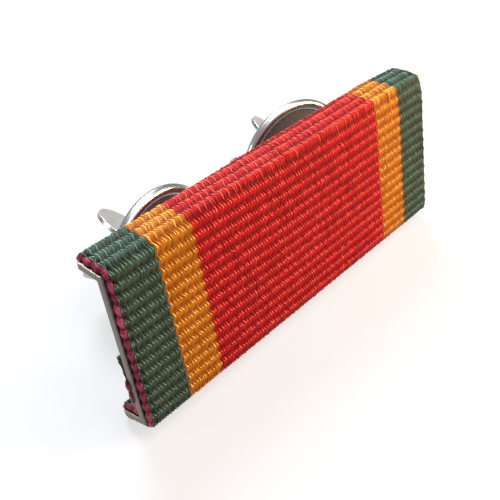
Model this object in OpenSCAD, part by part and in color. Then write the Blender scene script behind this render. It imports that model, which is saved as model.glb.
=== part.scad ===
// Medal ribbon bar: a striped ribbed ribbon folded round a pressed metal bar,
// with two splayed posts on its back and a butterfly clutch on each post.
// It rests as it stands on a table: on its lower fold and the rims of both clutch discs.

/* [Ribbon] */
// Width of the ribbon across its stripes, along the bar
ribbon_w = 32; // [24:0.5:40]
// Height of the bar over the ribbon's face
face_h = 12.8; // [10:0.1:16]
// Thickness of the ribbon over its ribs
ribbon_t = 0.5; // [0.3:0.05:0.7]
// Thickness of the ribbon where it is nipped round the bar's rear edges
nip_t = 0.45; // [0.25:0.01:0.5]
// Thickness of the ribbon's tails inside the bar
tail_t = 0.4; // [0.3:0.05:0.5]
// Inner radius of the tails' loose bend in the bar's inner corner
tail_bend_r = 0.3; // [0.3:0.05:0.5]
// Gap between ribbon and metal
cloth_gap = 0.05; // [0.02:0.01:0.1]
// Distance from the bar's middle line to the upper tail's cut end
upper_tail_y = 1.9; // [1.6:0.1:3]
// Distance from the bar's middle line to the lower tail's cut end, at the left edge
lower_tail_left = 0.6; // [0.4:0.1:3]
// The same distance at the right edge, because the end is cut askew
lower_tail_right = 3.9; // [3:0.1:4.5]
// Angle at which the lower tail's free end lifts off the bar
tail_lift = 15; // [5:1:20]

/* [Bar] */
// How far the metal shows past the ribbon at each end
metal_show = 0.2; // [0:0.05:0.5]
// Thickness of the bar's sheet metal
sheet_t = 0.48; // [0.4:0.02:0.7]
// Outer radius of the bar's long front edges
edge_r = 0.2; // [0.15:0.05:0.4]
// Inner radius of the bar's long front edges
inner_edge_r = 0.1; // [0.05:0.05:0.2]
// Length of each flange along its slope, from the front edge's bend
flange_l = 1.8; // [1.2:0.1:3]
// Angle by which each flange splays outward from square
flange_splay = 8; // [0:1:12]

/* [Posts] */
// Distance between the posts' feet, as a share of the ribbon's width
post_share = 0.4356; // [0.42:0.001:0.48]
// Radius of a post
post_r = 0.55; // [0.45:0.01:0.65]
// Length of a post from the bar's back to its point
post_l = 8.3; // [8:0.1:9]
// Angle by which each post leans outward
post_splay = 9; // [0:1:10]
// Radius of the soldered foot
foot_r = 1.2; // [1:0.05:1.6]
// Height of the soldered foot
foot_h = 0.35; // [0.2:0.05:0.6]
// Distance along a post from the bar's back to its first retaining groove
groove_d = 4.2; // [4:0.05:4.25]
// Width of a retaining groove
groove_w = 0.55; // [0.5:0.05:0.7]
// Depth of a retaining groove
groove_depth = 0.17; // [0.16:0.01:0.2]
// Length of a post's conical point
point_l = 0.45; // [0.3:0.05:0.5]
// Radius of the flat at the end of the point
point_r = 0.2; // [0.1:0.05:0.3]

/* [Clutch disc] */
// Distance along the left post from the bar's back to the front of the disc's rim
left_seat = 4.82; // [4.8:0.01:5]
// The same distance on the right post, whose clutch is pushed on less far
right_seat = 5.9; // [5.7:0.01:5.9]
// Radius of the disc over its rim
disc_r = 5.6; // [5:0.1:6.2]
// Radius of the rolled rim's round section
rim_r = 0.42; // [0.3:0.02:0.5]
// Thickness of the disc's sheet
disc_t = 0.34; // [0.25:0.01:0.4]
// Depth of the dish's floor behind the front of the rim
dish_depth = 0.4; // [0.2:0.02:0.42]
// Distance of the disc's pressed nubs from its middle
nub_at = 4.2; // [3.6:0.1:4.4]
// Radius of a nub
nub_r = 0.45; // [0.3:0.05:0.5]
// Height of a nub on the disc's front
nub_h = 0.25; // [0.15:0.05:0.35]
// Clearance of the disc's bore round the post
bore_gap = 0.15; // [0.1:0.01:0.25]
// Wall of the eyelet that holds the cage on the disc
eyelet_t = 0.28; // [0.2:0.02:0.35]
// Radius of the eyelet's flared end
flare_r = 1.45; // [1.3:0.05:1.5]
// Thickness of the eyelet's flared end
flare_t = 0.18; // [0.15:0.01:0.25]

/* [Clutch cage] */
// Radius of the cage's round base
base_r = 2.4; // [2.2:0.1:3]
// Thickness of the cage's sheet
cage_t = 0.3; // [0.25:0.01:0.35]
// Gap between the pieces of a clutch
piece_gap = 0.05; // [0.03:0.01:0.08]
// Width of a cheek
cheek_w = 2.9; // [2.7:0.1:3.4]
// Height of the cheeks above the base
cheek_h = 1.8; // [1.7:0.05:1.95]
// Radius of a cheek's upper corners
cheek_corner_r = 0.5; // [0.3:0.1:0.7]
// Gap between a cheek and the wings' necks
cheek_gap = 0.08; // [0.05:0.01:0.15]

/* [Clutch wings] */
// Thickness of a wing's sheet
wing_t = 0.32; // [0.25:0.01:0.35]
// Gap between the post and a wing's neck
neck_gap = 0.2; // [0.18:0.01:0.3]
// Width of a wing's neck
neck_w = 3; // [2.6:0.1:3.4]
// Width of the jaw at the neck's foot
jaw_w = 2.4; // [1.8:0.1:2.6]
// Height of the jaw along the post
jaw_h = 0.3; // [0.2:0.05:0.35]
// Running gap between a jaw and the post
jaw_gap = 0.05; // [0.03:0.01:0.1]
// Gap between the eyelet and the jaws
jaw_lift = 0.2; // [0.18:0.02:0.3]
// Height of a wing's pivot above its jaw's foot
pivot_h = 0.73; // [0.6:0.01:0.8]
// Radius of a wing's pivot stub
pivot_r = 0.22; // [0.18:0.01:0.24]
// Running gap of a pivot stub in its cheek
pivot_gap = 0.05; // [0.03:0.01:0.06]
// Length of the neck from its jaw's foot to the bend
neck_l = 1.7; // [1.6:0.05:2]
// Angle by which a wing's tab flares out from its neck
flare = 24; // [15:1:30]
// Radius of a tab's round end
tab_r = 2.4; // [2:0.1:3]
// Length of a tab from the bend to its tip
tab_l = 4.06; // [3.5:0.02:4.5]
// Radius of a tab's two shoulders
shoulder_r = 0.5; // [0.3:0.1:0.7]
// Turn of the left clutch about its post
left_turn = 50; // [0:5:90]
// Turn of the right clutch about its post
right_turn = 44; // [0:1:90]

/* [Hidden] */
$fn = 48;
LEFT = -1;
RIGHT = 1;
UPPER = 1;
LOWER = -1;
arc_steps = 8;
over = 1;             // how far a cutter reaches past what it cuts

// The fold, in the bar's own frame: x along the bar, y up its face, z out of its face
bend_turn = 90 - flange_splay;
fold_r = edge_r + cloth_gap;                    // inside of the ribbon at a front edge
outer_fold_r = fold_r + ribbon_t;               // outside of the ribbon at a front edge
bend_y = face_h / 2 - outer_fold_r;             // centre of a front edge's bend
bend_z = -outer_fold_r;
nip_r = sheet_t / 2 + cloth_gap;                // inside of the ribbon at a rear edge
plate_front = -ribbon_t - cloth_gap;
plate_back = plate_front - sheet_t;
out_y = cos(flange_splay);                      // a flange's outward normal
out_z = sin(flange_splay);
run_y = sin(flange_splay);                      // the way a flange runs back
run_z = -cos(flange_splay);
nip_y = bend_y + (fold_r - nip_r) * out_y + flange_l * run_y;   // centre of a rear fold
nip_z = bend_z + (fold_r - nip_r) * out_z + flange_l * run_z;
corner_y = bend_y + edge_r * tan(bend_turn / 2);                // the metal's outer corner
inner_corner_y = corner_y + sheet_t * tan(flange_splay) - sheet_t / cos(flange_splay);
tail_z = plate_back - cloth_gap;                // the tails' face against the plate
tail_corner_y = inner_corner_y + cloth_gap * tan(flange_splay) - cloth_gap / cos(flange_splay);
tail_fold_r = tail_t + tail_bend_r;             // loose bend in the bar's inner corner
tail_tangent = tail_fold_r * tan(bend_turn / 2);
nip_end_y = nip_y - nip_r * out_y;
nip_end_z = nip_z - nip_r * out_z;
inner_run = -(tail_corner_y - nip_end_y) * run_y - (tail_z - nip_end_z) * run_z - tail_tangent;
tail_start_y = tail_corner_y - tail_tangent;
lift_r = 1.5;                                   // bend where the lower tail lifts
flat_share = 0.72;                              // share of the lower tail that lies flat
lower_run = tail_start_y - lower_tail_left;
metal_end_past = sheet_t / 2 - 0.07;            // the flange ends just inside the rear fold

// Along a post, from the bar's back
rim_mid = rim_r;
floor_d = dish_depth;
floor_back = dish_depth + disc_t;
base_d = floor_back + piece_gap;
base_top = base_d + cage_t;
eyelet_top = base_top + piece_gap + flare_t;
jaw_d = eyelet_top + jaw_lift;
pivot_d = jaw_d + pivot_h;
bend_d = jaw_d + neck_l;
neck_in = post_r + neck_gap;
neck_mid = neck_in + wing_t / 2;
cheek_in = neck_w / 2 + cheek_gap;
bore_r = post_r + bore_gap;
seat_x = ribbon_w * post_share / 2;

// The stance: a plane touches the lower rear fold and the rim of the disc that is further out
fold_out_r = nip_r + nip_t;
rim_y = disc_r - rim_r;
far_seat = max(left_seat, right_seat);
rim_z = plate_back - (far_seat + rim_mid) * cos(post_splay);
stance_dy = nip_y - rim_y;
stance_dz = nip_z - rim_z;
lean = asin((fold_out_r - rim_r) / norm([stance_dy, stance_dz])) + atan2(stance_dy, stance_dz);
lift = nip_y * cos(lean) - nip_z * sin(lean) + fold_out_r;

// A vector of a clutch's frame, in the bar's frame
function spun(v, turn) = [v[0] * cos(turn) + v[1] * sin(turn), v[1] * cos(turn) - v[0] * sin(turn), v[2]];
function splayed(v, side) = let (a = -side * post_splay)
    [v[0] * cos(a) - v[2] * sin(a), -v[1], -v[0] * sin(a) - v[2] * cos(a)];
function depth(v) = v[1] * sin(lean) - v[2] * cos(lean);
function reach(side, turn, way) = let (
    disc = splayed(spun([way * (neck_mid + (tab_l - tab_r) * sin(flare)), 0,
                         (side == LEFT ? left_seat : right_seat) + bend_d + (tab_l - tab_r) * cos(flare)],
                        turn), side),
    face = splayed(spun([way * cos(flare), 0, -sin(flare)], turn), side),
    slope = depth(face))
    depth([0, 0, plate_back]) + depth(disc) + tab_r * sqrt(1 - slope * slope) + wing_t / 2 * abs(slope);
front_y = -bend_y * sin(lean) - bend_z * cos(lean) - outer_fold_r;
back_y = max(reach(LEFT, left_turn, UPPER), reach(LEFT, left_turn, LOWER),
             reach(RIGHT, right_turn, UPPER), reach(RIGHT, right_turn, LOWER));
middle_y = (front_y + back_y) / 2;

// Points of a folded strip, seen from one side. A row is one straight and the bend after it:
// length, turn, bend radius of the side that faces the metal, thickness at the bend.
LENGTH = 0;
TURN = 1;
BEND_R = 2;
THICK = 3;
function ahead(a) = [cos(a), sin(a)];
function left_of(a) = [-sin(a), cos(a)];
function strip(rows, far, i = 0, p = [0, 0], a = 0) = i >= len(rows) ? [] :
    let (row = rows[i],
         off = far ? row[THICK] : 0,
         q = p + row[LENGTH] * ahead(a),
         s = sign(row[TURN]),
         c = q + s * row[BEND_R] * left_of(a))
    concat(s == 0 ? [q + off * left_of(a)] : [for (k = [0:arc_steps]) let (b = a + row[TURN] * k / arc_steps)
                                              c - (s * row[BEND_R] - off) * left_of(b)],
           strip(rows, far, i + 1, c - s * row[BEND_R] * left_of(a + row[TURN]), a + row[TURN]));
function reversed(list) = [for (i = [len(list) - 1:-1:0]) list[i]];
function flipped(list) = [for (p = list) [-p[0], p[1]]];
wrap = [[bend_y, -bend_turn, fold_r, ribbon_t],
        [flange_l, -180, nip_r, nip_t],
        [inner_run, bend_turn, tail_fold_r, tail_t]];
upper_wrap = concat(wrap, [[tail_start_y - upper_tail_y, 0, 0, tail_t]]);
lower_wrap = concat(wrap, [[lower_run * flat_share, tail_lift, lift_r, tail_t],
                           [lower_run * (1 - flat_share), 0, 0, tail_t]]);

// Stands the bar's frame on the floor, leaning back
module stand() {
    translate([0, -middle_y, lift]) rotate([90 - lean, 0, 0]) children();
}

// Extrudes an outline in y and z along the bar
module along_bar(width) {
    rotate([90, 0, 90]) translate([0, 0, -width / 2]) linear_extrude(width) children();
}

// Places a clutch's frame, with z along its post from the bar's back
module on_post(side) {
    translate([side * seat_x, 0, plate_back]) rotate([0, -side * post_splay, 0]) rotate([180, 0, 0])
        children();
}

module on_clutch(side, turn) {
    stand() on_post(side) rotate([0, 0, -turn])
        translate([0, 0, side == LEFT ? left_seat : right_seat]) children();
}

// A cylinder between two heights
module turned(r, from, to) {
    translate([0, 0, from]) cylinder(r = r, h = to - from);
}

// Half of the bar's section, drawn from its middle to one flange's rear edge
module half_section() {
    end_y = nip_y + metal_end_past * run_y;
    end_z = nip_z + metal_end_past * run_z;
    half_t = sheet_t / 2;
    difference() {
        polygon([[0, plate_front], [bend_y, plate_front], [corner_y, plate_front],
                 [end_y + half_t * out_y, end_z + half_t * out_z],
                 [end_y - half_t * out_y, end_z - half_t * out_z],
                 [inner_corner_y, plate_back], [0, plate_back]]);
        difference() {
            translate([bend_y, bend_z]) square([edge_r * 2, edge_r * 2]);
            translate([bend_y, bend_z]) circle(r = edge_r);
            polygon([[bend_y, bend_z], [bend_y + 3 * edge_r * out_y, bend_z + 3 * edge_r * out_z],
                     [bend_y + 3 * edge_r, bend_z - 3 * edge_r]]);
        }
    }
    fillet_y = inner_corner_y - inner_edge_r * tan(bend_turn / 2);
    difference() {
        polygon([[inner_corner_y, plate_back], [fillet_y, plate_back],
                 [inner_corner_y + inner_edge_r * tan(bend_turn / 2) * run_y,
                  plate_back + inner_edge_r * tan(bend_turn / 2) * run_z]]);
        translate([fillet_y, plate_back - inner_edge_r]) circle(r = inner_edge_r);
    }
}

module post() {
    difference() {
        union() {
            turned(foot_r, -foot_r * sin(post_splay), foot_h);
            turned(post_r, 0, post_l - point_l);
            translate([0, 0, post_l - point_l]) cylinder(r1 = post_r, r2 = point_r, h = point_l);
        }
        for (d = [groove_d, left_seat + jaw_d, right_seat + jaw_d])
            difference() {
                turned(post_r + over, d, d + groove_w);
                turned(post_r - groove_depth, d - over, d + groove_w + over);
            }
    }
}

module channel_bar() {
    color("#8d857b") stand() {
        along_bar(ribbon_w + 2 * metal_show) {
            half_section();
            mirror([1, 0]) half_section();
        }
        for (side = [LEFT, RIGHT]) on_post(side) post();
    }
}

module ribbon() {
    face = plate_front + cloth_gap;
    upper = concat(strip(upper_wrap, true), reversed(strip(upper_wrap, false)));
    lower = concat(strip(lower_wrap, false), reversed(strip(lower_wrap, true)));
    color("#b3241f") stand() difference() {
        along_bar(ribbon_w) translate([0, face]) polygon(concat(upper, flipped(lower)));
        translate([0, 0, nip_z - over]) linear_extrude(tail_z + cloth_gap / 2 - nip_z + over)
            polygon([[-ribbon_w, -lower_tail_left + tail_slope * ribbon_w / 2],
                     [ribbon_w, -lower_tail_right - tail_slope * ribbon_w / 2],
                     [ribbon_w, upper_tail_y - over / 2], [-ribbon_w, upper_tail_y - over / 2]]);
    }
}
tail_slope = (lower_tail_right - lower_tail_left) / ribbon_w;

module disc() {
    difference() {
        union() {
            rotate_extrude() translate([rim_y, rim_mid]) circle(r = rim_r);
            turned(rim_y, floor_d, floor_back);
            turned(bore_r + eyelet_t, floor_d, eyelet_top);
            turned(flare_r, eyelet_top - flare_t, eyelet_top);
            nubs();
        }
        turned(bore_r, -over, eyelet_top + over);
    }
}

// Three domes pressed forward out of the disc's floor, so the disc doesn't turn on the cloth
module nubs() {
    dome_r = (nub_r * nub_r + nub_h * nub_h) / (2 * nub_h);
    for (turn = [0:120:240]) rotate([0, 0, turn]) translate([0, nub_at, floor_d]) intersection() {
        translate([0, 0, dome_r - nub_h]) sphere(r = dome_r);
        turned(nub_r, -nub_h, disc_t / 2);
    }
}

module cheek_outline() {
    half = cheek_w / 2;
    r = cheek_corner_r;
    square_w = half - r;
    translate([-half, 0]) square([cheek_w, cheek_h - r]);
    translate([-square_w, 0]) square([2 * square_w, cheek_h]);
    for (x = [-square_w, square_w]) translate([x, cheek_h - r]) circle(r = r);
}

module cage() {
    difference() {
        union() {
            turned(base_r, base_d, base_top);
            for (y = [cheek_in + cage_t, -cheek_in]) translate([0, y, base_top - cage_t / 2])
                rotate([90, 0, 0]) linear_extrude(cage_t) cheek_outline();
        }
        turned(bore_r + eyelet_t + piece_gap, 0, eyelet_top);
        for (x = [neck_mid, -neck_mid]) translate([x, 0, pivot_d]) rotate([90, 0, 0])
            cylinder(r = pivot_r + pivot_gap, h = 4 * cheek_in, center = true);
    }
}

module tab_outline() {
    intersection() {
        translate([tab_l - tab_r, 0]) circle(r = tab_r);
        translate([shoulder_r, -tab_r]) square([tab_l, 2 * tab_r]);
    }
    shoulder = sqrt(tab_r * tab_r - (tab_l - tab_r - shoulder_r) * (tab_l - tab_r - shoulder_r)) - shoulder_r;
    translate([0, -shoulder]) square([shoulder_r * 1.1, 2 * shoulder]);
    for (y = [shoulder, -shoulder]) translate([shoulder_r, y]) circle(r = shoulder_r);
}

// A wing, standing on the side of the post that x points to
module wing() {
    difference() {
        union() {
            translate([neck_in, -neck_w / 2, jaw_d]) cube([wing_t, neck_w, neck_l]);
            translate([neck_in - neck_gap, -jaw_w / 2, jaw_d]) cube([neck_gap + wing_t / 2, jaw_w, jaw_h]);
        }
        turned(post_r + jaw_gap, 0, bend_d);
    }
    translate([neck_mid, 0, bend_d]) {
        rotate([90, 0, 0]) cylinder(r = wing_t / 2, h = neck_w, center = true);
        rotate([0, flare - 90, 0]) translate([0, 0, -wing_t / 2]) linear_extrude(wing_t) tab_outline();
    }
    for (y = [neck_w / 2 + (cage_t + cheek_gap) / 2, -neck_w / 2 - (cage_t + cheek_gap) / 2])
        translate([neck_mid, y, pivot_d]) rotate([90, 0, 0])
            cylinder(r = pivot_r, h = cage_t + cheek_gap + wing_t, center = true);
}

module clutch_disc(side) {
    color("#b9bcc0") on_clutch(side, 0) disc();
}

module clutch_cage(side, turn) {
    color("#a8aaad") on_clutch(side, turn) cage();
}

module clutch_wing(side, turn, way) {
    color("#c9cacc") on_clutch(side, turn) rotate([0, 0, way == UPPER ? 0 : 180]) wing();
}

channel_bar();
ribbon();
clutch_disc(LEFT);  // left_disc
clutch_cage(LEFT, left_turn);  // left_cage
clutch_wing(LEFT, left_turn, UPPER);  // left_wing_upper
clutch_wing(LEFT, left_turn, LOWER);  // left_wing_lower
clutch_disc(RIGHT);  // right_disc
clutch_cage(RIGHT, right_turn);  // right_cage
clutch_wing(RIGHT, right_turn, UPPER);  // right_wing_upper
clutch_wing(RIGHT, right_turn, LOWER);  // right_wing_lower
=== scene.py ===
# Ribbon bar: a ribbed silk ribbon folded round a pressed metal bar, with two butterfly clutches behind.
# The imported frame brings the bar, its posts and the clutches. The woven ribbon, its selvedge loops and
# the looks are made here.
import math

import bpy
import numpy as np
from mathutils import Matrix, Vector


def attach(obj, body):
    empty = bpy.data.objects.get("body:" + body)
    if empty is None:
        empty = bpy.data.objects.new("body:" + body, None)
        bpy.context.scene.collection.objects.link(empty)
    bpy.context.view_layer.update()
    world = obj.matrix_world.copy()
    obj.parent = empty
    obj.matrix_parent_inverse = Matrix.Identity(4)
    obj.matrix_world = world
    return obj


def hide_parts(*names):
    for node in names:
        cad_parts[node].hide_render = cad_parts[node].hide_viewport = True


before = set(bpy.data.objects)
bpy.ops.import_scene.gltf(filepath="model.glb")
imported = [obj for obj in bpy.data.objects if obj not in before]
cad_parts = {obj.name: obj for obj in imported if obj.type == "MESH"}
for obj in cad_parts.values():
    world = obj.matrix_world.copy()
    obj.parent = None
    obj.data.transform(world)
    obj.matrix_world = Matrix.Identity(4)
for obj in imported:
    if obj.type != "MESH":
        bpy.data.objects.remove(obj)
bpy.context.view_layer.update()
bpy.ops.object.select_all(action="DESELECT")

mm = 0.001  # lengths below are in millimetres, as in the part's source

# how the bar stands: leaning back on its lower fold and one clutch's rim
stance = dict(lean=math.radians(12.0209), middle=6.21999, lift=7.00098)


def barSpots(x, y, z):
    # from the bar's own axes (x along it, y up its face, z out of its face) to the scene, in metres
    s, c = math.sin(stance["lean"]), math.cos(stance["lean"])
    return np.stack([x, y * s - z * c - stance["middle"], y * c + z * s + stance["lift"]], axis=-1) * mm


def ramp(value, start, over):
    # 0 up to the start, then rising to 1 over the length given
    return np.clip((value - start) / over, 0, 1)


def bell(value, middle, reach):
    # 1 at the middle, falling off on both sides over the reach
    return np.exp(-((value - middle) / reach) ** 2)


def linearColour(hexText):
    parts = [int(hexText[i:i + 2], 16) / 255 for i in (1, 3, 5)]
    return tuple(p / 12.92 if p <= 0.04045 else ((p + 0.055) / 1.055) ** 2.4 for p in parts) + (1.0,)


def addNode(tree, kind, settings=None, links=None):
    # settings and links are keyed by a property's name, an input's name or an input's number
    node = tree.nodes.new(kind)
    for key, value in (settings or {}).items():
        if isinstance(key, str) and hasattr(node, key):
            setattr(node, key, value)
        else:
            node.inputs[key].default_value = value
    for key, source in (links or {}).items():
        tree.links.new(source, node.inputs[key])
    return node


def startMaterial(name):
    material = bpy.data.materials.new(name)
    material.use_nodes = True
    tree = material.node_tree
    return material, tree, tree.nodes["Principled BSDF"]


def meshPiece(name, spots, faces, material):
    mesh = bpy.data.meshes.new(name)
    mesh.vertices.add(len(spots))
    mesh.vertices.foreach_set("co", np.asarray(spots, dtype=np.float32).ravel())
    sides = np.array([len(face) for face in faces])
    mesh.loops.add(int(sides.sum()))
    mesh.loops.foreach_set("vertex_index", np.concatenate(faces).astype(np.int32))
    mesh.polygons.add(len(faces))
    mesh.polygons.foreach_set("loop_start", (np.cumsum(sides) - sides).astype(np.int32))
    mesh.update(calc_edges=True)
    mesh.validate()
    mesh.polygons.foreach_set("use_smooth", np.ones(len(mesh.polygons), dtype=bool))
    piece = bpy.data.objects.new(name, mesh)
    bpy.context.collection.objects.link(piece)
    mesh.materials.append(material)
    return piece


def gridQuads(rows, columns, start=0):
    i, j = np.meshgrid(np.arange(rows - 1), np.arange(columns - 1), indexing="ij")
    a = (start + i * columns + j).ravel()
    return np.stack([a, a + 1, a + columns + 1, a + columns], axis=-1)


def cornerVertices(mesh):
    # the vertex at each corner of each face, in the faces' order
    corners = np.zeros(len(mesh.loops), dtype=np.int32)
    mesh.loops.foreach_get("vertex_index", corners)
    return corners


def writeValues(mesh, name, values):
    data = mesh.attributes.new(name, "FLOAT", "POINT").data
    data.foreach_set("value", np.asarray(values, dtype=np.float32))


def writeLay(mesh, places):
    # the map that the threads' and streaks' patterns follow, with a place for each corner of each face
    mesh.uv_layers.new(name="threadLay").data.foreach_set("uv", places.astype(np.float32).ravel())


def fixOutward(piece):
    bpy.context.view_layer.objects.active = piece
    piece.select_set(True)
    bpy.ops.object.mode_set(mode="EDIT")
    bpy.ops.mesh.select_all(action="SELECT")
    bpy.ops.mesh.normals_make_consistent(inside=False)
    bpy.ops.object.mode_set(mode="OBJECT")
    piece.select_set(False)


# the ribbon's cut, and its path round the bar in the bar's y and z, from the middle of the face
ribbonCut = dict(
    width=32.0,
    face=-0.5,            # where the cloth's inner side lies on the metal
    # each row: a straight stretch, the turn after it, its bend radius, and the cloth's thickness
    wrap=[[5.65, -82, 0.25, 0.5], [1.8, -180, 0.29, 0.45], [0.904635, 82, 0.7, 0.4]],
    upperTail=[[2.85463, 0, 0, 0.4]],
    lowerTail=[[2.99134, 15, 1.5, 0.4], [1.1633, 0, 0, 0.4]],
    lowerEnd=(0.6, 3.9),  # how far below the bar's middle the askew end is cut, at the left and at the right
    tailFrom=11.3,        # past both folds, where a tail runs back towards the bar's middle
    seed=7,
)
edge = ribbonCut["width"] / 2

# the dyed stripes, from the left selvedge to the right one
stripes = [
    ("green", -edge, -12.6), ("yellow", -12.6, -9.53), ("red", -9.53, 9.53),
    ("yellow", 9.53, 12.6), ("green", 12.6, edge),
]

# the weave: weft cords a rib apart under dense warp. The threads that show slant over a rib and hook back
# between ribs
weave = dict(
    ribPitch=0.844,
    ribStart=0.03,        # a line across the face by which the ribs are placed
    ribPhase=0.775,       # how far up a rib that line lies
    bow=(-5.0, 5.0),      # the ribs bow down round this place, over this reach, towards the right
    bowDown=0.165,
    bowCloser=0.0095,     # and lie this much closer together
    relief=0.055,
    drawnTight=(15.0, 0.6, 0.8),  # from here, over this width, the right selvedge loses this share of relief
    body=0.58,            # share of a rib that the long slanted stretches cover
    threadPitch=0.25,
    paired=0.02,          # the threads stand in pairs
    slant=0.085,          # how far a thread swings to each side
    rise=0.05,            # the height of a thread's rounded back
    bed=0.06,             # the dense warp under them lies this far below the cloth's full thickness
    folds=(5.6, 0.5),     # the face ends and the folds begin
)


def walkPath(rows, step=0.01):
    # the cloth's middle layer: its places, the ways out of the cloth, its thickness, and the length walked
    places, angles, thick = [], [], []

    def lay(y, z, angle, off, thickness):
        places.append((y - math.sin(angle) * off, z + math.cos(angle) * off))
        angles.append(angle)
        thick.append(thickness)

    y, z, a = 0.0, 0.0, 0.0
    for k, (length, turn, bend, t) in enumerate(rows):
        before = rows[k - 1][3] if k else t
        count = max(2, int(length / step))
        for f in np.arange(count) / count:
            h = before + (t - before) * f
            lay(y + f * length * math.cos(a), z + f * length * math.sin(a), a, h / 2, h)
        y, z = y + length * math.cos(a), z + length * math.sin(a)
        if turn:
            swept = math.radians(turn)
            radius = math.copysign(bend, turn)
            middleY, middleZ = y - radius * math.sin(a), z + radius * math.cos(a)
            count = max(12, int(abs(swept) * bend / step))
            for i in range(count):
                lay(middleY, middleZ, a + swept * i / count, t / 2 - radius, t)
            a += swept
            y, z = middleY + radius * math.sin(a), middleZ - radius * math.cos(a)
    lay(y, z, a, t / 2, t)
    places, angles = np.array(places), np.array(angles)
    ways = np.stack([-np.sin(angles), np.cos(angles)], axis=-1)
    walked = np.concatenate([[0], np.cumsum(np.hypot(*(places[1:] - places[:-1]).T))])
    return places, ways, np.array(thick), walked


upperPath = walkPath(ribbonCut["wrap"] + ribbonCut["upperTail"])
lowerPath = walkPath(ribbonCut["wrap"] + ribbonCut["lowerTail"])
upperReach = float(upperPath[3][-1])


def lowerReach(x):
    # how far the lower half runs at this place across the ribbon, because its end is cut askew
    left, right = ribbonCut["lowerEnd"]
    end = left + (right - left) * (x / ribbonCut["width"] + 0.5)
    places, _, _, walked = lowerPath
    tail = walked > ribbonCut["tailFrom"]
    return float(np.interp(-end, -places[tail, 0], walked[tail]))


def onRibbon(m, off):
    # the place in the bar's y and z of cloth a length m up round the bar from the middle of its face, and off
    # its middle layer, with half the cloth's thickness there
    m, off = np.broadcast_arrays(np.asarray(m, float), np.asarray(off, float))
    placed, half = np.zeros(m.shape + (2,)), np.zeros(m.shape)
    for sign, path, pick in ((1, upperPath, m >= 0), (-1, lowerPath, m < 0)):
        places, ways, thick, walked = path
        s = np.abs(m[pick])
        at, way = (np.stack([np.interp(s, walked, v[:, k]) for k in (0, 1)], axis=-1) for v in (places, ways))
        at += way / np.linalg.norm(way, axis=-1, keepdims=True) * off[pick][:, None]
        at[:, 0] *= sign
        placed[pick] = at
        half[pick] = np.interp(s, walked, thick) / 2
    placed[..., 1] += ribbonCut["face"]
    return placed, half


def halfThickness(m):
    return onRibbon(m, 0.0)[1]


def ribLine(x):
    # the ribs' pitch at this place across the ribbon, and where the line lies by which they are placed
    bow = 1 + np.tanh((x - weave["bow"][0]) / weave["bow"][1])
    return weave["ribPitch"] - weave["bowCloser"] * bow, weave["ribStart"] - weave["bowDown"] * bow


def ribPlace(m, x):
    # which rib this is, and how far up it
    pitch, start = ribLine(x)
    place = (m - start) / pitch + weave["ribPhase"]
    return np.floor(place).astype(int), place - np.floor(place)


def ribWave(rise):
    # from -1 to 1: each rib rises gently under its long threads and falls back under the hooks
    body = weave["body"]
    fall = (rise - body) / (1 - body)
    return np.where(rise < body, -np.cos(math.pi * rise / body), np.cos(math.pi * fall))


def ribDrop(rise, x):
    # how far the cloth's top lies above a rib's crown, below zero between ribs
    start, over, share = weave["drawnTight"]
    return weave["relief"] * (ribWave(rise) - 1) / 2 * (1 - share * ramp(x, start, over))


def threadSway(rise):
    # a thread leans one way over the long stretch, from -1 to 1, and hooks back
    body = weave["body"]
    return np.where(rise < body, 2 * rise / body - 1, 1 - 2 * (rise - body) / (1 - body))


# the cloth is pressed in a little round both folds, and the upper fold droops at its right end
press = dict(
    upperFold=(6.0, 0.9),   # its middle, and how far it reaches along the cloth
    lowerFold=(-6.0, 0.8),
    depth=0.05,
    droop=0.24,
    droopAcross=(11.0, 5.0),
    droopAlong=(6.2, 1.6),
    droopEase=1.5,
)


def pressedIn(m, x):
    droop = press["droop"] * ramp(x, *press["droopAcross"]) ** press["droopEase"]
    upper = (press["depth"] + droop) * bell(m, *press["upperFold"])
    lower = press["depth"] * bell(m, *press["lowerFold"])
    return upper + lower + droop * ramp(m, *press["droopAlong"])


# the upper tail is drawn in narrower than the face, and the lower one is folded a little askew to the left
tails = dict(drawnIn=0.016, drawnAlong=(9.3, 1.2), askew=0.32, askewAlong=(10.2, 2.5))


def settled(x, m):
    drawn = tails["drawnIn"] * ramp(m, *tails["drawnAlong"])
    return x * (1 - drawn) - tails["askew"] * ramp(-m, *tails["askewAlong"])


# silk thread: its gleam takes the dye's colour. Its colour is a painted highlight where the threads cross and
# lie proud and along each thread's middle, and a painted shade where they sink
silk = dict(
    filaments=(2.88, 4.16),  # to a thread's width and to a pitch of its length: about 0.04 and 0.06 mm
    shares=dict(filaments=1.3, tone=0.5, ridgeHighlight=0.6),  # what adds to the painted highlight: the filaments' noise, random tone and the painted highlight along a thread's middle
    steps=(1.2, 1.9, 2.45),  # where the sum shows the painted shade, the plain dye and the painted highlight
    rough=(0.32, 0.5),       # over this range of the filaments' noise:
    noise=(0.3, 0.7),
    index=1.53,
    shine=0.22,
)


# deep is a painted shade of the dye, body its own colour, bright a painted highlight; gleam tints the real
# gloss
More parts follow.
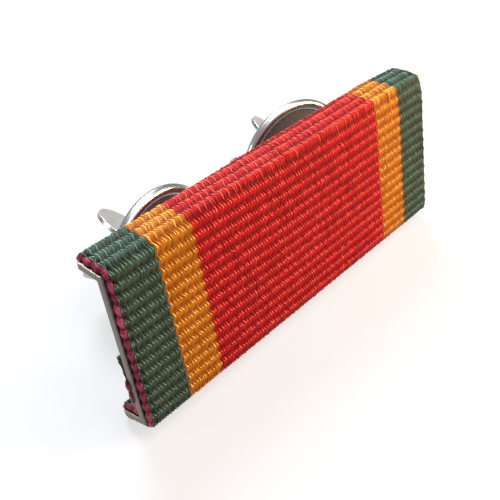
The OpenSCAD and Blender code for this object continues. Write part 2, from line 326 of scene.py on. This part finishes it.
def silkThread(name, deep, body, bright, gleam):
    material, tree, shader = startMaterial(name)
    lay = addNode(tree, "ShaderNodeUVMap", {"uv_map": "threadLay"}).outputs["UV"]
    spread = addNode(tree, "ShaderNodeMapping", {"Scale": silk["filaments"] + (1.0,)}, {"Vector": lay})
    filaments = addNode(tree, "ShaderNodeTexNoise", {"Scale": 1.0, "Detail": 3.0, "Roughness": 0.6},
                        {"Vector": spread.outputs["Vector"]}).outputs["Fac"]
    tone, highlight, ridgeHighlight = (
        addNode(tree, "ShaderNodeAttribute", {"attribute_name": wanted}).outputs["Fac"]
        for wanted in ("threadTone", "threadPaintedHighlight", "threadRidgeHighlight"))
    # painted light: the mesh's painted highlight, with noise, random tone and a painted highlight along each
    # thread's middle
    lit = highlight
    for key, source in (("filaments", filaments), ("tone", tone), ("ridgeHighlight", ridgeHighlight)):
        lit = addNode(tree, "ShaderNodeMath", {"operation": "MULTIPLY_ADD", 1: silk["shares"][key]},
                      {0: source, 2: lit}).outputs[0]
    # the lowest sums give a painted shade, the highest a painted highlight
    darkest, plain, brightest = silk["steps"]
    low = addNode(tree, "ShaderNodeMapRange", {"From Min": darkest, "From Max": plain}, {"Value": lit})
    high = addNode(tree, "ShaderNodeMapRange", {"From Min": plain, "From Max": brightest}, {"Value": lit})
    colour = addNode(tree, "ShaderNodeMix",
                     {"data_type": "RGBA", 6: linearColour(deep), 7: linearColour(body)},
                     {0: low.outputs[0]}).outputs[2]
    colour = addNode(tree, "ShaderNodeMix", {"data_type": "RGBA", 7: linearColour(bright)},
                     {0: high.outputs[0], 6: colour}).outputs[2]
    tree.links.new(colour, shader.inputs["Base Color"])
    (calm, busy), (smooth, coarse) = silk["noise"], silk["rough"]
    rough = addNode(tree, "ShaderNodeMapRange",
                    {"From Min": calm, "From Max": busy, "To Min": smooth, "To Max": coarse},
                    {"Value": filaments}).outputs[0]
    tree.links.new(rough, shader.inputs["Roughness"])
    relief = addNode(tree, "ShaderNodeBump", {"Strength": 0.6, "Distance": 0.03 * mm}, {"Height": filaments})
    tree.links.new(relief.outputs["Normal"], shader.inputs["Normal"])
    shader.inputs["IOR"].default_value = silk["index"]
    shader.inputs["Specular IOR Level"].default_value = silk["shine"]
    shader.inputs["Specular Tint"].default_value = linearColour(gleam)
    return material


# for each dye: painted shade, own colour, painted highlight, and the gloss's tint
threadLooks = {
    "green": silkThread("silk warp dyed green", "#141d16", "#2f4036", "#587f6a", "#a8c8b0"),
    "yellow": silkThread("silk warp dyed golden yellow", "#602c02", "#9c5a0c", "#f2b45a", "#ffc078"),
    "red": silkThread("silk warp dyed scarlet", "#480105", "#940a0d", "#ef5f4a", "#ff7462"),
    "crimson": silkThread("silk weft dyed crimson", "#22080f", "#64182c", "#c0506a", "#ff90a0"),
}

# the dense warp of the ribs: a painted shade copy and a painted highlight copy of each dye, and fine straight
# streaks along the ribbon
warp = dict(
    green=("#141914", "#3c483a"),
    yellow=("#6c3202", "#a8620e"),
    red=("#4e0206", "#a21418"),
    crimson=("#2a0a14", "#6a1c32"),
    selvedge=0.07,          # the crimson weft shows over this width at each edge
    streaks=(2.6, 0.7),     # to a pair of threads and to a third of a rib: about 0.19 and 0.4 mm
    pairs=0.16,             # how much the pairs of threads above show in the streaks
    share=1.2,              # how much the streaks add to the ribs' painted light
    shades=(0.33, 1.43),    # where the sum shows the painted shade and the painted highlight
    rough=0.6,
    shine=0.06,
)
mapEdge = edge / weave["threadPitch"] / 2    # the ribbon's edge on the map, where a pair of threads is 1


# woven silk that lies under the threads: duller than they are, so that they stand out of it. Its colour
# carries a painted highlight on the ribs' crowns and a painted shade between ribs
def denseWarp():
    material, tree, shader = startMaterial("ribbed silk, dyed in stripes")
    lay = addNode(tree, "ShaderNodeUVMap", {"uv_map": "threadLay"}).outputs["UV"]
    across = addNode(tree, "ShaderNodeSeparateXYZ", None, {"Vector": lay}).outputs["X"]
    place = addNode(tree, "ShaderNodeMapRange", {"From Min": -mapEdge, "From Max": mapEdge},
                    {"Value": across}).outputs[0]
    turns = addNode(tree, "ShaderNodeMath", {"operation": "MULTIPLY", 1: 2 * math.pi}, {0: across}).outputs[0]
    wave = addNode(tree, "ShaderNodeMath", {"operation": "SINE"}, {0: turns}).outputs[0]
    loose = addNode(tree, "ShaderNodeMapping", {"Scale": warp["streaks"] + (1.0,)}, {"Vector": lay})
    streaks = addNode(tree, "ShaderNodeTexNoise", {"Scale": 1.0, "Detail": 2.0, "Roughness": 0.6},
                      {"Vector": loose.outputs["Vector"]}).outputs["Fac"]
    streaks = addNode(tree, "ShaderNodeMath", {"operation": "MULTIPLY_ADD", 1: warp["pairs"]},
                      {0: wave, 2: streaks}).outputs[0]
    # painted light of the ribs: a painted highlight on each crown, painted shade between them
    paintedRibLight = addNode(tree, "ShaderNodeAttribute", {"attribute_name": "ribPaintedLight"}).outputs["Fac"]
    lit = addNode(tree, "ShaderNodeMath", {"operation": "MULTIPLY_ADD", 1: warp["share"]},
                  {0: streaks, 2: paintedRibLight}).outputs[0]
    dark, light = warp["shades"]
    lit = addNode(tree, "ShaderNodeMapRange", {"From Min": dark, "From Max": light}, {"Value": lit})
    inner = edge - warp["selvedge"]
    starts = [("green", -inner)] + [stripe[:2] for stripe in stripes[1:]] + [("crimson", inner)]
    # a painted shade copy and a painted highlight copy of the stripes
    dyed = []
    for k in (0, 1):
        fan = addNode(tree, "ShaderNodeValToRGB", None, {"Fac": place})
        fan.color_ramp.interpolation = "CONSTANT"
        steps = fan.color_ramp.elements
        steps.remove(steps[1])
        steps[0].position, steps[0].color = 0.0, linearColour(warp["crimson"][k])
        for dye, start in starts:
            steps.new((start + edge) / ribbonCut["width"]).color = linearColour(warp[dye][k])
        dyed.append(fan.outputs["Color"])
    colour = addNode(tree, "ShaderNodeMix", {"data_type": "RGBA"},
                     {0: lit.outputs[0], 6: dyed[0], 7: dyed[1]}).outputs[2]
    tree.links.new(colour, shader.inputs["Base Color"])
    relief = addNode(tree, "ShaderNodeBump", {"Strength": 0.6, "Distance": 0.05 * mm}, {"Height": streaks})
    tree.links.new(relief.outputs["Normal"], shader.inputs["Normal"])
    shader.inputs["Roughness"].default_value = warp["rough"]
    shader.inputs["Specular IOR Level"].default_value = warp["shine"]
    return material


# the ground: a closed sheet whose outer side carries the ribs
groundForm = dict(
    edge=15.8,            # the selvedge loops stand out past it
    columns=65,
    rowsPerRib=8,
    tail=-12.0,           # past this the rows fan out to the askew lower end
    tailRows=30,
    lastRow=0.04,         # the least length of the last row before the upper end
    lining=0.03,          # the inner side keeps this far off the metal
    foldShade=0.35,       # painted shade: the ribs' painted highlight is weaker over the folds
    # the inner side's even value of the painted rib light
    innerPaintedRibLight=0.4,
    ribOnMap=3.0,         # a rib's length on the map
    pastStripes=2.0,
    undone=1.2,           # the crimson weft has come out of this length of the lower left corner
)


def makeGround():
    columns = np.linspace(-groundForm["edge"], groundForm["edge"], groundForm["columns"])
    tail = groundForm["tail"]
    common = np.arange(tail, upperReach, weave["ribPitch"] / groundForm["rowsPerRib"])
    common = np.append(common[common < upperReach - groundForm["lastRow"]], upperReach)
    fans = [np.linspace(-lowerReach(x), tail, groundForm["tailRows"], endpoint=False) for x in columns]
    m = np.array([np.append(fan, common) for fan in fans]).T   # length up round the bar, by row and column
    x = np.broadcast_to(columns, m.shape)
    rib, rise = ribPlace(m, x)
    half = halfThickness(m)
    outer = half - weave["bed"] + ribDrop(rise, x) - pressedIn(m, x)
    inner = groundForm["lining"] - half
    lain = settled(x, m)
    sides = [onRibbon(m, off)[0] for off in (outer, inner)]
    spots = np.concatenate([barSpots(lain, at[..., 0], at[..., 1]).reshape(-1, 3) for at in sides])

    rows, count = m.shape
    top, low = np.arange(2 * m.size).reshape(2, rows, count)
    face = gridQuads(rows, count)
    back = gridQuads(rows, count, m.size)[:, ::-1]
    # the left and right selvedges and the lower and upper ends, each from one side's rim to the other's
    rims = [(top[:, 0], low[:, 0]), (low[:, -1], top[:, -1]), (top[0], low[0]), (low[-1], top[-1])]
    rims = [np.stack([a[:-1], a[1:], b[1:], b[:-1]], axis=-1) for a, b in rims]
    piece = meshPiece("ribbon_ground", spots, np.concatenate([face, back] + rims), denseWarp())

    # painted light: highlight on the ribs' crowns, shade between ribs, and painted shade over the folds
    paintedRibLight = (1 + ribWave(rise)) / 2 - groundForm["foldShade"] * ramp(np.abs(m), *weave["folds"])
    writeValues(piece.data, "ribPaintedLight", np.append(paintedRibLight, np.full(m.size, groundForm["innerPaintedRibLight"])))
    # the streaks follow the threads, of which a pair is 1 across the map
    across = (x - weave["slant"] * threadSway(rise)) / weave["threadPitch"] / 2
    lay = np.stack([across, (rib + rise) * groundForm["ribOnMap"]], axis=-1).reshape(-1, 2)
    lay = np.tile(lay, (2, 1))[cornerVertices(piece.data)].reshape(-1, 4, 2)
    # the selvedges are past the stripes on the map, so that they show the crimson weft
    left = slice(len(face) + len(back), len(face) + len(back) + rows - 1)
    right = slice(left.stop, left.stop + rows - 1)
    past = mapEdge + groundForm["pastStripes"]
    woven = m[:-1, 0] > groundForm["undone"] - lowerReach(-edge)
    lay[left, :, 0] = np.where(woven[:, None], -past, lay[left, :, 0])
    lay[right, :, 0] = past
    writeLay(piece.data, lay)
    fixOutward(piece)
    return piece


# the two threads of a pair: the first stands proud and gets more painted highlight; over the folds, which
# face the light, both stand prouder and get more painted highlight
twins = (
    dict(way=1, width=0.125, proud=0.014, foldProud=0.05, highlight=0.36, foldHighlight=0.4),
    dict(way=-1, width=0.11, proud=0.004, foldProud=0.03, highlight=0.26, foldHighlight=0.25),
)

# how a thread is made, and how far single threads stray from the rule
threadForm = dict(
    levels=np.array([0.04, 0.16, 0.29, 0.42, 0.52, 0.6, 0.7, 0.82, 0.93]),  # its points along a rib
    section=4,            # points round its back
    edge=15.78,
    gap=0.03,             # the least length from the last point to an end
    bodyHump=0.7,         # the share of its height that a long stretch gains in its middle
    hookProud=(0.015, 0.035),
    # painted highlight where a thread hooks back
    hookHighlight=0.42,
    crossing=(0.1, 0.12),  # just past the long stretch a thread crosses over its neighbour
    crossProud=0.025,
    # painted highlight where a thread crosses over its neighbour
    crossHighlight=0.75,
    waist=0.25,           # a long stretch is this much narrower in its middle
    mapStep=3.7,          # each thread has its own stretch of the filaments' map
    lowerEnds=(-0.1, 0.16),  # how uneven the two cut ends are
    upperEnds=(0.0, 0.1),
    strayAlong=0.03,
    mostAlong=0.05,
    strayHeight=0.012,
    strayAcross=0.008,
    straySwing=0.35,
    strayWidth=0.1,
)


def shapeThread(x0, twin, rng):
    form, body = threadForm, weave["body"]
    low = -lowerReach(x0) - rng.uniform(*form["lowerEnds"])
    high = upperReach - rng.uniform(*form["upperEnds"])
    pitch, start = ribLine(x0)
    ribs = range(int(low / pitch) - 2, int(high / pitch) + 3)
    m = (np.concatenate([k + form["levels"] for k in ribs]) - weave["ribPhase"]) * pitch + start
    m = np.concatenate([[low], m[(m > low + form["gap"]) & (m < high - form["gap"])], [high]])
    rib, rise = ribPlace(m, x0)
    rib = rib - rib.min()
    count = rib.max() + 1
    strays = np.clip(rng.normal(0, form["strayAlong"], count), -form["mostAlong"], form["mostAlong"])
    m = np.clip(m + strays[rib] * np.sin(math.pi * rise), low, high)
    tone = rng.random(count)[rib]
    height = rng.normal(0, form["strayHeight"], count)[rib]
    swing = weave["slant"] * (1 + rng.normal(0, form["straySwing"], count))[rib]
    x = x0 + swing * threadSway(rise) + rng.normal(0, form["strayAcross"])
    x = settled(np.clip(x, -form["edge"], form["edge"]), m)
    width = twin["width"] * (1 + rng.normal(0, form["strayWidth"]))

    onBody = rise < body
    hump = np.sin(math.pi * np.where(onBody, rise / body, np.clip((rise - body) / (1 - body), 0, 1)))
    crossing = bell(rise, body + form["crossing"][0], form["crossing"][1])
    folded = ramp(np.abs(m), *weave["folds"])
    bodyProud = (twin["proud"] + twin["foldProud"] * folded * (m > 0)) * (1 - form["bodyHump"] * (1 - hump))
    hookProud = form["hookProud"][0] + form["hookProud"][1] * hump
    top = halfThickness(m) - weave["bed"] + ribDrop(rise, x0) + height - pressedIn(m, x0)
    top += np.where(onBody, bodyProud, hookProud) + form["crossProud"] * crossing
    width = width * np.where(onBody, 1 - form["waist"] * hump, 1.0)
    # painted highlight on the thread: most where it hooks back and where it crosses over, less on the long
    # stretches, and more over the folds, which face the light
    bodyHighlight = (twin["highlight"] + twin["foldHighlight"] * folded) * (1 + hump) / 2
    highlight = np.where(onBody, bodyHighlight, form["hookHighlight"]) + form["crossHighlight"] * crossing

    arc = np.linspace(math.pi, 0, form["section"])
    xs = x[:, None] + width[:, None] / 2 * np.cos(arc)
    offs = top[:, None] + weave["rise"] * (np.sin(arc) - 1)
    placed = onRibbon(m[:, None], offs)[0]
    return barSpots(xs, placed[..., 0], placed[..., 1]), m, tone, highlight


def makeThreads():
    rng = np.random.default_rng(ribbonCut["seed"])
    made = {"green": [], "yellow": [], "red": []}
    for j in range(int(ribbonCut["width"] / weave["threadPitch"])):
        twin = twins[j % 2]
        x0 = -edge + weave["threadPitch"] * (j + 0.5) + weave["paired"] * twin["way"]
        dye = next(dye for dye, start, end in stripes if start <= x0 < end)
        made[dye].append(shapeThread(x0, twin, rng))
    return [joinThreads("ribbon_threads_" + dye, threads, threadLooks[dye]) for dye, threads in made.items()]


def joinThreads(name, threads, material):
    spots, quads, tones, highlights, ridgeHighlights, lays, start = [], [], [], [], [], [], 0
    for k, (at, m, tone, highlight) in enumerate(threads):
        n, section = at.shape[:2]
        spots.append(at.reshape(-1, 3))
        quads.append(gridQuads(n, section, start))
        tones.append(np.repeat(tone, section))
        highlights.append(np.repeat(highlight, section))
        # a painted highlight along each thread's middle, fading to its sides
        ridgeHighlights.append(np.tile(np.sin(np.linspace(0, math.pi, section)), n))
        across = np.tile(np.linspace(0, 1, section), n) + threadForm["mapStep"] * k
        lays.append(np.stack([across, np.repeat(m / weave["threadPitch"], section)], axis=-1))
        start += n * section
    piece = meshPiece(name, np.concatenate(spots), np.concatenate(quads), material)
    for key, values in (("threadTone", tones), ("threadPaintedHighlight", highlights), ("threadRidgeHighlight", ridgeHighlights)):
        writeValues(piece.data, key, np.concatenate(values))
    writeLay(piece.data, np.concatenate(lays)[cornerVertices(piece.data)])
    return piece


# the crimson weft shows where it turns back round the ribbon's two edges, one loop to a rib
loopShape = dict(
    length=1.2,
    bulge=0.21,           # how far a loop stands out
    squareness=0.6,       # below 1 the loop's section is boxier than round
    rings=9,
    segments=8,
    twists=9,             # how fast its waist wavers along it
    wavers=0.25,
    upperEnd=0.3,         # no loop nearer than this to the upper end
    highlight=(0.75, 0.6),    # painted highlight at its middle, and how much less its ends get, which shows as painted shade
    # a fixed share of the painted highlight along a thread's middle
    ridgeHighlight=0.8,
    onMap=(3.0, 9.0),     # how much of the filaments' map it takes along it, and how far apart loops lie
    # seat: where its middle lies across; depth: to half the cloth's thickness; undone: no loop nearer to the
    # lower end, whose left corner has come undone; hidden: pressed out of sight where the fold rolls over
    left=dict(way=-1, seat=15.84, depth=1.06, bulge=1.0, sunk=0.12, undone=1.3, hidden=(0.0, 0.0)),
    right=dict(way=1, seat=15.55, depth=0.6, bulge=0.85, sunk=0.0, undone=0.3, hidden=(4.8, 7.8)),
    strayAlong=0.03,
    strayLength=0.06,
    strayBulge=0.12,
    lean=(0.02, 0.03),    # one end of a loop stands this much prouder, and how far that strays
)


def makeLoops():
    rng = np.random.default_rng(ribbonCut["seed"] + 1)
    shape = loopShape
    bpy.ops.mesh.primitive_uv_sphere_add(segments=shape["segments"], ring_count=shape["rings"], radius=1.0)
    bead = bpy.context.active_object
    bead.select_set(False)
    across, along, out = np.array([v.co[:] for v in bead.data.vertices]).T
    beadFaces = [np.array(p.vertices) for p in bead.data.polygons]
    bpy.data.objects.remove(bead)
    spots, tones = [], []
    for side in (shape["left"], shape["right"]):
        x = side["way"] * edge
        reach = lowerReach(x)
        pitch, start = ribLine(x)
        for row in range(int(-reach / pitch) - 1, int(upperReach / pitch) + 2):
            middle = row * pitch + start + rng.normal(0, shape["strayAlong"])
            if middle > upperReach - shape["upperEnd"] or middle < side["undone"] - reach:
                continue
            if side["hidden"][0] < middle < side["hidden"][1]:
                continue
            long = shape["length"] / 2 * (1 + rng.normal(0, shape["strayLength"]))
            wide = shape["bulge"] * side["bulge"] * (1 + rng.normal(0, shape["strayBulge"]))
            pressed = float(pressedIn(middle, x)) / 2
            deep = float(halfThickness(middle)) * side["depth"] - pressed
            off = np.sign(out) * np.abs(out) ** shape["squareness"] * deep - pressed - side["sunk"]
            off += along * rng.normal(*shape["lean"])
            placed = onRibbon(middle + along * long, off)[0]
            waver = 1 + shape["wavers"] * np.sin(along * shape["twists"] + row)
            seat = float(settled(side["way"] * side["seat"], middle))
            spots.append(barSpots(seat + across * wide * waver, placed[:, 0], placed[:, 1]))
            tones.append(rng.random())
    count, points = len(spots), len(across)
    faces = [face + k * points for k in range(count) for face in beadFaces]
    piece = meshPiece("ribbon_selvedge_loops", np.concatenate(spots), faces, threadLooks["crimson"])
    writeValues(piece.data, "threadTone", np.repeat(tones, points))
    # painted highlight at each loop's middle, painted shade towards its ends
    writeValues(piece.data, "threadPaintedHighlight", np.tile(shape["highlight"][0] - shape["highlight"][1] * along ** 2, count))
    writeValues(piece.data, "threadRidgeHighlight", np.full(count * points, shape["ridgeHighlight"]))
    taken, apart = shape["onMap"]
    lay = np.stack([np.tile(along * taken, count), np.repeat(np.array(tones) * apart, points)], axis=-1)
    writeLay(piece.data, lay[cornerVertices(piece.data)])
    fixOutward(piece)
    return piece


ground = makeGround()
threads = makeThreads()
loops = makeLoops()
for piece in [ground, loops] + threads:
    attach(piece, "bar")
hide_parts("ribbon")
faceCount = sum(len(piece.data.polygons) for piece in [ground, loops] + threads)
print("ribbon:", faceCount, "faces; wrap", round(upperReach + lowerReach(0.0), 2), "mm")


# nickel plated metal: streaks where it was drawn or tumbled, a haze of wear, and edges rounded just enough to
# catch light. Rounded edges that look up get a pale painted highlight, partly wear. streaks is their spacing
# along x, y and z, edge the rounding's radius
metals = dict(
    bar=dict(
        name="nickel plated brass strip, drawn",
        light="#7e7670", dark="#5a534e", wearAndGlint="#f6dcaa", grazing="#ffffff",
        rough=(0.26, 0.36), marks=0.25, streaks=(2.0, 0.0625, 0.0625), edge=0.13, hazy=0.25),
    disc=dict(
        name="bright nickel plated brass, pressed",
        light="#dcdee0", dark="#c4c5c6", wearAndGlint="#e6e9ec", grazing="#909090",
        rough=(0.19, 0.28), marks=0.03, streaks=(1.111, 1.111, 1.111), edge=0.05, hazy=0.4),
    wing=dict(
        name="satin nickel plated brass, tumbled",
        light="#bebdb8", dark="#a2a099", wearAndGlint="#e4e2da", grazing="#ffffff",
        rough=(0.26, 0.36), marks=0.1, streaks=(0.5556, 0.5556, 0.5556), edge=0.1, hazy=0.3),
)
wear = dict(
    haze=2.381,           # the spacing of the haze's patches
    fade=(0.35, 0.85),    # from the light shade to the dark one, in the strength of streaks and haze
    rough=(0.3, 0.8),     # from the smoothest to the roughest, in the same
    bend=(0.985, 0.88),   # how far an edge's rounding turns the surface before the painted highlight shows
    litFromAbove=(0.3, 0.55),   # only edges that look up get it, as where light from above catches them
)


def platedMetal(name, light, dark, wearAndGlint, grazing, rough, marks, streaks, edge, hazy):
    material, tree, shader = startMaterial(name)
    place = addNode(tree, "ShaderNodeTexCoord").outputs["Object"]
    scale = [1 / (spacing * mm) for spacing in streaks]
    drawn = addNode(tree, "ShaderNodeMapping", {"Scale": scale}, {"Vector": place})
    lines = addNode(tree, "ShaderNodeTexNoise", {"Scale": 1.0, "Detail": 5.0, "Roughness": 0.65},
                    {"Vector": drawn.outputs["Vector"]}).outputs["Fac"]
    haze = addNode(tree, "ShaderNodeTexNoise", {"Scale": 1 / (wear["haze"] * mm), "Detail": 3.0},
                   {"Vector": place}).outputs["Fac"]
    both = addNode(tree, "ShaderNodeMath", {"operation": "MULTIPLY_ADD", 1: hazy},
                   {0: haze, 2: lines}).outputs[0]
    (calm, busy), (smooth, coarse) = wear["rough"], rough
    spread = addNode(tree, "ShaderNodeMapRange",
                     {"From Min": calm, "From Max": busy, "To Min": smooth, "To Max": coarse},
                     {"Value": both}).outputs[0]
    tree.links.new(spread, shader.inputs["Roughness"])
    rounded = addNode(tree, "ShaderNodeBevel", {"samples": 8, "Radius": edge * mm}).outputs["Normal"]
    flat = addNode(tree, "ShaderNodeNewGeometry").outputs["Normal"]
    bent = addNode(tree, "ShaderNodeVectorMath", {"operation": "DOT_PRODUCT"}, {0: rounded, 1: flat})
    litFromAbove = addNode(tree, "ShaderNodeSeparateXYZ", None, {"Vector": rounded}).outputs["Z"]
    parts = {}
    for key, value in (("bend", bent.outputs["Value"]), ("litFromAbove", litFromAbove), ("fade", both)):
        span = {"From Min": wear[key][0], "From Max": wear[key][1]}
        parts[key] = addNode(tree, "ShaderNodeMapRange", span, {"Value": value}).outputs[0]
    # painted highlight, partly wear, on rounded edges that look up
    wornAndLitEdges = addNode(tree, "ShaderNodeMath", {"operation": "MULTIPLY"},
                     {0: parts["bend"], 1: parts["litFromAbove"]})
    colour = addNode(tree, "ShaderNodeMix",
                     {"data_type": "RGBA", 6: linearColour(light), 7: linearColour(dark)},
                     {0: parts["fade"]}).outputs[2]
    colour = addNode(tree, "ShaderNodeMix", {"data_type": "RGBA", 7: linearColour(wearAndGlint)},
                     {0: wornAndLitEdges.outputs[0], 6: colour}).outputs[2]
    tree.links.new(colour, shader.inputs["Base Color"])
    relief = addNode(tree, "ShaderNodeBump", {"Strength": marks, "Distance": 0.02 * mm},
                     {"Height": lines, "Normal": rounded})
    tree.links.new(relief.outputs["Normal"], shader.inputs["Normal"])
    shader.inputs["Metallic"].default_value = 1.0
    shader.inputs["Specular Tint"].default_value = linearColour(grazing)
    return material


barLook, discLook, wingLook = (platedMetal(**metals[key]) for key in ("bar", "disc", "wing"))
plated = {"channel_bar": barLook}
for side in ("left", "right"):
    plated.update({side + "_disc": discLook, side + "_cage": discLook})
    plated.update({side + "_wing_upper": wingLook, side + "_wing_lower": wingLook})
for node, look in plated.items():
    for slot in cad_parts[node].material_slots:
        slot.material = look
print("metal: materials on the bar and both clutches")

# the table is a lit white board, as for catalogue pictures, so shadows on it are faint
boardForm = dict(width=1200.0, light="#6e6e6e", dark="#6b6b6c", grain=16.67, glow=0.67, rough=0.9, shine=0.1)


def paleBoard():
    material, tree, shader = startMaterial("white acrylic board, lit from below")
    place = addNode(tree, "ShaderNodeTexCoord").outputs["Object"]
    grain = addNode(tree, "ShaderNodeTexNoise", {"Scale": 1 / (boardForm["grain"] * mm), "Detail": 2.0},
                    {"Vector": place}).outputs["Fac"]
    shades = {6: linearColour(boardForm["light"]), 7: linearColour(boardForm["dark"])}
    colour = addNode(tree, "ShaderNodeMix", {"data_type": "RGBA", **shades}, {0: grain}).outputs[2]
    tree.links.new(colour, shader.inputs["Base Color"])
    shader.inputs["Emission Color"].default_value = linearColour("#ffffff")
    shader.inputs["Emission Strength"].default_value = boardForm["glow"]
    shader.inputs["Roughness"].default_value = boardForm["rough"]
    shader.inputs["Specular IOR Level"].default_value = boardForm["shine"]
    return material


bpy.ops.mesh.primitive_plane_add(size=boardForm["width"] * mm, location=(0, 0, 0))
board = bpy.context.active_object
board.name = "board"
board.data.materials.append(paleBoard())
board.select_set(False)

# soft studio light: a strong cool lamp behind and above, a wide one overhead, a faint one at the left, a
# small warm one low at the right that lights the discs, and an even white room. Places and sizes in metres
lightPlan = dict(
    back_softbox=dict(spot=(0.09, 0.17, 0.22), size=0.13, power=1.6, colour="#e8f0ff"),
    top_softbox=dict(spot=(0.08, -0.06, 0.26), size=0.20, power=0.75, colour="#fff6ea"),
    left_softbox=dict(spot=(-0.21, 0.14, 0.11), size=0.12, power=0.22, colour="#f4f6ff"),
    right_softbox=dict(spot=(0.058, -0.044, 0.038), size=0.04, power=0.105, colour="#ffd4a8"),
)
for name, light in lightPlan.items():
    bpy.ops.object.light_add(type="AREA", location=light["spot"])
    lamp = bpy.context.active_object
    lamp.name = name
    lamp.data.shape = "DISK"
    lamp.data.size = light["size"]
    lamp.data.energy = light["power"]
    lamp.data.color = linearColour(light["colour"])[:3]
    lamp.rotation_euler = (-Vector(light["spot"])).to_track_quat("-Z", "Y").to_euler()
    lamp.select_set(False)
roomLight = dict(colour="#ffffff", strength=0.3)
room = bpy.data.worlds.new("white room")
room.use_nodes = True
background = room.node_tree.nodes["Background"]
background.inputs["Color"].default_value = linearColour(roomLight["colour"])
background.inputs["Strength"].default_value = roomLight["strength"]
bpy.context.scene.world = room
bpy.context.scene.view_settings.view_transform = "Standard"

# the photograph's view, in the bar's own axes: from close by, over the bar's left end, at a point on its face
view = dict(spot=(-34.149, 28.8, 32.374), aim=(-5.2726, 1.6103, 0.0), roll=math.radians(0.5386), lens=55.4947)
bpy.ops.object.camera_add()
camera = bpy.context.active_object
camera.name = "photo_view"
spot, aim = (Vector(barSpots(*view[key])) for key in ("spot", "aim"))
level = (aim - spot).to_track_quat("-Z", "Y").to_matrix()
camera.location = spot
camera.rotation_euler = (level @ Matrix.Rotation(view["roll"], 3, "Z")).to_euler()
camera.data.sensor_width = 36.0
camera.data.sensor_fit = "HORIZONTAL"
camera.data.lens = view["lens"]
camera.data.clip_start = 0.001
bpy.context.scene.camera = camera
print("stage, lights and camera set")
